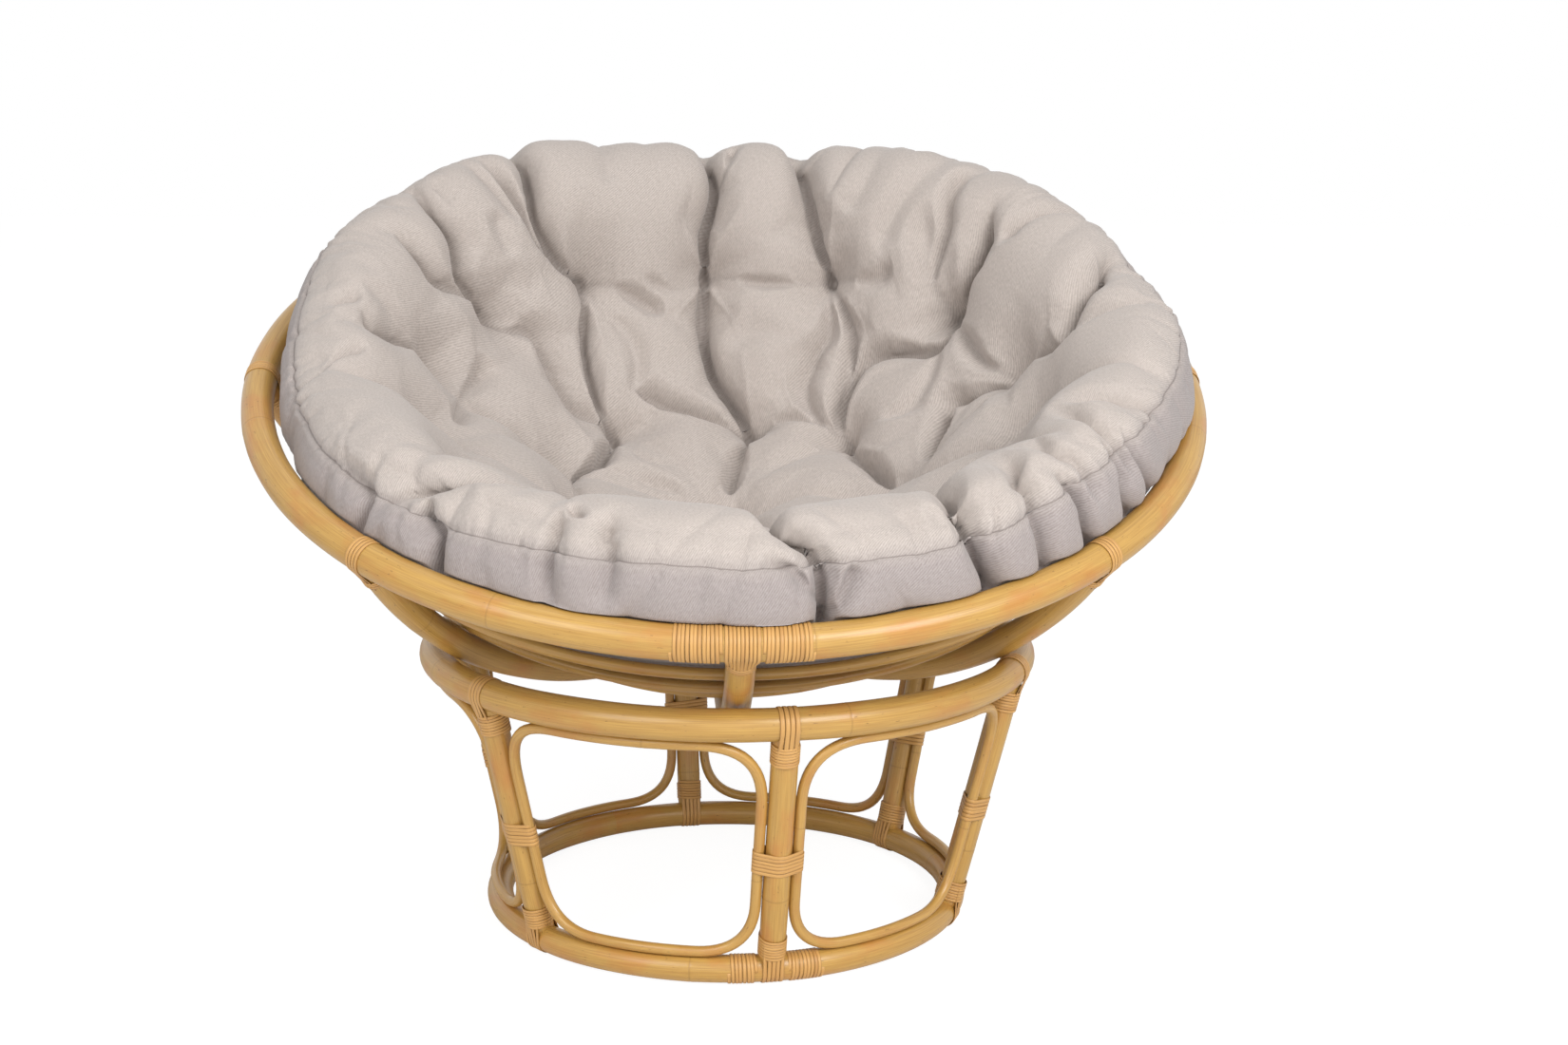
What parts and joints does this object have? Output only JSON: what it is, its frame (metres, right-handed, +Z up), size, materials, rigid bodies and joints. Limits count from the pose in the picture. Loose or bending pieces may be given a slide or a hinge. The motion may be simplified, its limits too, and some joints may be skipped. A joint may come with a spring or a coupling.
{
  "type": "papasan chair",
  "caption": "Round bowl chair: a tilting rattan bowl bound with cane rests on a drum-shaped rattan base and holds a thick tufted cushion.",
  "frame": {"origin": "on the floor, under the middle of the chair's overall width and depth; the base stands a little towards the front", "axes": "+Z up, +X to the sitter's left, -Y the side that the tilted bowl faces, +Y the back"},
  "size_m": [1.0976, 1.0322, 0.8465],
  "materials": {
    "rattan_pole": "satin",
    "cane_strip": "satin",
    "turned_wood": "satin",
    "twill_cover": "matte"
  },
  "bodies": {
    "base": {"base_top_ring": "rattan_pole", "base_bottom_ring": "rattan_pole", "base_post_1": "rattan_pole", "bay_loop_1": "rattan_pole", "post_top_binding_1": "cane_strip", "post_mid_binding_1": "cane_strip", "post_foot_binding_1": "cane_strip", "base_post_2": "rattan_pole", "bay_loop_2": "rattan_pole", "post_top_binding_2": "cane_strip", "post_mid_binding_2": "cane_strip", "post_foot_binding_2": "cane_strip", "base_post_3": "rattan_pole", "bay_loop_3": "rattan_pole", "post_top_binding_3": "cane_strip", "post_mid_binding_3": "cane_strip", "post_foot_binding_3": "cane_strip", "base_post_4": "rattan_pole", "bay_loop_4": "rattan_pole", "post_top_binding_4": "cane_strip", "post_mid_binding_4": "cane_strip", "post_foot_binding_4": "cane_strip", "base_post_5": "rattan_pole", "bay_loop_5": "rattan_pole", "post_top_binding_5": "cane_strip", "post_mid_binding_5": "cane_strip", "post_foot_binding_5": "cane_strip", "base_post_6": "rattan_pole", "bay_loop_6": "rattan_pole", "post_top_binding_6": "cane_strip", "post_mid_binding_6": "cane_strip", "post_foot_binding_6": "cane_strip", "foot_winding_left": "cane_strip", "foot_winding_right": "cane_strip"},
    "bowl": {"bowl_rim": "rattan_pole", "bowl_hub": "turned_wood", "bowl_hoop_1": "rattan_pole", "bowl_hoop_2": "rattan_pole", "bowl_hoop_3": "rattan_pole", "bowl_hoop_4": "rattan_pole", "bowl_rib_1": "rattan_pole", "rim_binding_1": "cane_strip", "bowl_rib_2": "rattan_pole", "rim_binding_2": "cane_strip", "bowl_rib_3": "rattan_pole", "rim_binding_3": "cane_strip", "bowl_rib_4": "rattan_pole", "rim_binding_4": "cane_strip", "bowl_rib_5": "rattan_pole", "rim_binding_5": "cane_strip", "bowl_rib_6": "rattan_pole", "rim_binding_6": "cane_strip", "bowl_rib_7": "rattan_pole", "rim_binding_7": "cane_strip", "bowl_rib_8": "rattan_pole", "rim_binding_8": "cane_strip", "rim_winding_left": "cane_strip", "rim_winding_right": "cane_strip"},
    "cushion": {"cushion": "twill_cover"}
  },
  "joints": [
    {"name": "bowl_tilt", "type": "hinge", "parent": "base", "child": "bowl", "pos_m": [0, -0.08952, 0.82789], "axis": [1, 0, 0], "range_deg": [-20.9, 6]},
    {"name": "cushion_lift", "type": "slide", "parent": "bowl", "child": "cushion", "axis": [0, -0.3567, 0.9342], "range_m": [0, 0.4]}
  ]
}
